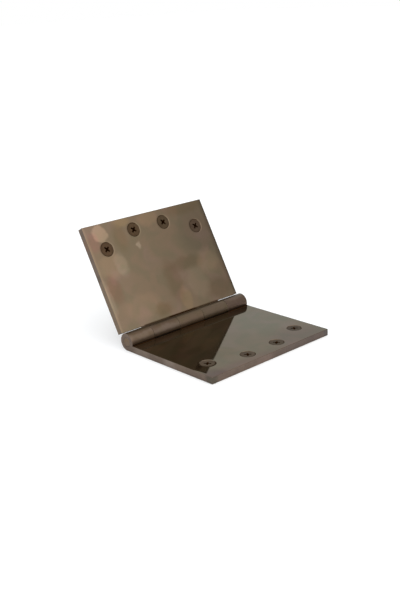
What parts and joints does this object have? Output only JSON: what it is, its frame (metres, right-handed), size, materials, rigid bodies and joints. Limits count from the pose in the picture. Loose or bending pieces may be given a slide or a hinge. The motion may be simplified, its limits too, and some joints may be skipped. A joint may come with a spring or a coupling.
{
  "type": "wide throw hinge",
  "caption": "Broad solid butt hinge in dark bronze finish: plain rectangular leaves on a knuckled barrel with a flush pin and countersunk cross-recess screws, for doors that swing wide.",
  "frame": {"origin": "centre of the fixed leaf's flat back face", "axes": "+X along the pin, +Y from the fixed leaf's free edge towards the pin, +Z out of the fixed leaf's inner face, towards the side that the barrel and the screw heads are on"},
  "size_m": [0.1, 0.1172, 0.0716],
  "materials": {
    "leaf_bronze": "gloss",
    "pin_bronze": "satin",
    "screw_bronze": "satin"
  },
  "bodies": {
    "fixed": {"fixed_leaf": "leaf_bronze", "hinge_pin": "pin_bronze", "fixed_screw_1": "screw_bronze", "fixed_screw_2": "screw_bronze", "fixed_screw_3": "screw_bronze", "fixed_screw_4": "screw_bronze"},
    "swing": {"swing_leaf": "leaf_bronze", "swing_screw_1": "screw_bronze", "swing_screw_2": "screw_bronze", "swing_screw_3": "screw_bronze", "swing_screw_4": "screw_bronze"}
  },
  "joints": [
    {"name": "leaf_swing", "type": "hinge", "parent": "fixed", "child": "swing", "pos_m": [0, 0.038, 0.0056], "axis": [-1, 0, 0], "range_deg": [-118.6, 61.4]}
  ]
}
